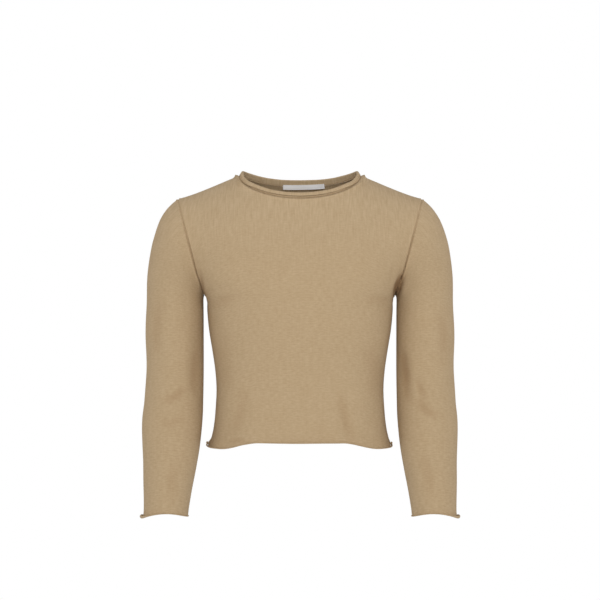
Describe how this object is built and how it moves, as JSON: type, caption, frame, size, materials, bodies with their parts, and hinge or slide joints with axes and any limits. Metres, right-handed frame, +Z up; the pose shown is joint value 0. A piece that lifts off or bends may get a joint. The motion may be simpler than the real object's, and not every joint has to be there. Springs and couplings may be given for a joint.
{
  "type": "cropped knit sweater",
  "caption": "Cropped fine-knit sweater with set-in bracelet-length sleeves, a rolled neckband and raw edges that curl, kept hollow as if worn.",
  "frame": {"origin": "midway between the two points where the shoulder seams meet the neckband, where the wearer's shoulders carry the garment", "axes": "+Z up, front of the garment faces -Y, the wearer's left is +X"},
  "size_m": [0.493, 0.2054, 0.5394],
  "materials": {
    "knit": "matt fine-gauge jersey in a warm camel",
    "woven_label": "plain off-white woven tape"
  },
  "bodies": {
    "root": {"front": "knit", "back": "knit", "sleeve_left": "knit", "sleeve_right": "knit", "neckband": "knit", "neck_label": "woven_label"}
  },
  "joints": []
}
